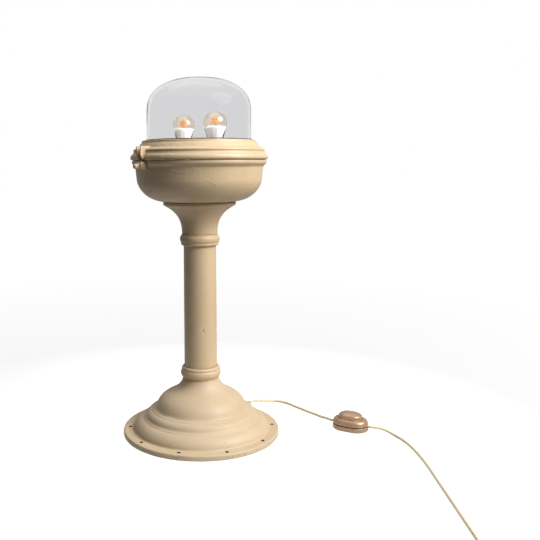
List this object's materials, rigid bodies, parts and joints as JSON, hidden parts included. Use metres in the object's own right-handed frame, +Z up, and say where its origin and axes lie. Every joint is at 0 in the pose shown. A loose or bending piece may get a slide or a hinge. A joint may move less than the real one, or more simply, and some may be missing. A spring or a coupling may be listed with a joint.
{
  "type": "railway post lamp",
  "caption": "Cast post lamp with a stepped drilled foot, plain column, bowl under a hinged ring with a glass dome, bulbs inside, and a cord with a foot switch.",
  "frame": {"origin": "on the floor plane, at the centre of the circle of flange holes", "axes": "+Z up along the column, -Y towards the catch, +Y towards the hinge, the bulbs side by side along X"},
  "size_m": [0.8436, 0.4155, 0.678],
  "materials": {
    "enamel": "satin enamel over cast iron, worn at the edges",
    "steel": "plain machined steel",
    "brass": "plain brass",
    "seal_rubber": "matt black rubber",
    "dome_glass": "clear moulded glass",
    "bulb_glass": "clear blown glass",
    "white_enamel": "gloss white enamel",
    "porcelain": "white glaze",
    "bulb_white": "satin white",
    "filament_amber": "amber coated strip",
    "wire_sleeve": "smooth sleeve",
    "gold_cord": "clear sleeve over gold coloured strands",
    "bronze_plastic": "satin metallic bronze",
    "tie_strap": "black hook and loop strap"
  },
  "bodies": {
    "root": {"base_casting": "enamel", "base_bell": "enamel", "lower_collar": "enamel", "column_tube": "enamel", "upper_collar": "enamel", "neck_casting": "enamel", "tie_tube": "steel", "tie_nuts": "steel", "tie_washers": "steel", "bowl_floor": "enamel", "bowl_casting": "enamel", "rim_gasket": "seal_rubber", "hinge_pin": "steel", "catch_pin": "enamel", "lamp_tray": "white_enamel", "tray_screws": "steel", "lampholder_left": "porcelain", "lampholder_right": "porcelain", "holder_shells": "brass", "holder_contacts": "brass", "holder_screws": "steel", "terminal_block": "porcelain", "terminal_screws": "steel", "holder_wires": "wire_sleeve", "inner_flex": "gold_cord", "cord_relief": "seal_rubber", "relief_nut": "steel", "switch_base": "bronze_plastic", "switch_cover": "bronze_plastic", "switch_spring": "steel", "switch_contacts": "brass", "switch_clamps": "bulb_white", "switch_screws": "steel", "cord_to_switch": "gold_cord", "cord_to_coil": "gold_cord", "cord_coil": "gold_cord", "coil_tie": "tie_strap", "plug_body": "bronze_plastic", "plug_pins": "brass"},
    "lid": {"clamp_ring": "enamel", "clamp_lug": "enamel", "dome_gasket": "seal_rubber", "glass_dome": "dome_glass", "seat_gasket": "seal_rubber", "retaining_ring": "steel", "retaining_screws": "steel"},
    "catch": {"swing_bolt": "enamel"},
    "bulb_left_thread": {"bulb_contact_left": "steel"},
    "bulb_left": {"bulb_glass_left": "bulb_glass", "bulb_cap_left": "steel", "bulb_cone_left": "bulb_white", "bulb_filament_left": "filament_amber"},
    "bulb_right_thread": {"bulb_contact_right": "steel"},
    "bulb_right": {"bulb_glass_right": "bulb_glass", "bulb_cap_right": "steel", "bulb_cone_right": "bulb_white", "bulb_filament_right": "filament_amber"},
    "button": {"switch_button": "bronze_plastic", "switch_bridge": "brass"}
  },
  "joints": [
    {"name": "lid_hinge", "type": "hinge", "parent": "root", "child": "lid", "pos_m": [0, 0.14, 0.514], "axis": [-1, 0, 0], "range_deg": [0, 100]},
    {"name": "catch_swing", "type": "hinge", "parent": "root", "child": "catch", "pos_m": [0, -0.131, 0.51], "axis": [-1, 0, 0], "range_deg": [-80, 97]},
    {"name": "bulb_left_lift", "type": "slide", "parent": "root", "child": "bulb_left_thread", "axis": [0, 0, 1], "range_m": [0, 0.01128]},
    {"name": "bulb_left_turn", "type": "hinge", "parent": "bulb_left_thread", "child": "bulb_left", "pos_m": [-0.05, 0, 0.532], "axis": [0, 0, 1], "range_deg": [0, 1440]},
    {"name": "bulb_right_lift", "type": "slide", "parent": "root", "child": "bulb_right_thread", "axis": [0, 0, 1], "range_m": [0, 0.01128]},
    {"name": "bulb_right_turn", "type": "hinge", "parent": "bulb_right_thread", "child": "bulb_right", "pos_m": [0.05, 0, 0.532], "axis": [0, 0, 1], "range_deg": [0, 1440]},
    {"name": "button_press", "type": "slide", "parent": "root", "child": "button", "axis": [0, 0, -1], "range_m": [0, 0.0034], "stiffness_N_per_m": 1500, "springref_m": -0.002, "deforming": ["switch_spring"]}
  ],
  "couplings": [
    {"joint": "bulb_left_turn", "follows": "bulb_left_lift", "rad_per_m": 2228.1},
    {"joint": "bulb_right_turn", "follows": "bulb_right_lift", "rad_per_m": 2228.1}
  ]
}
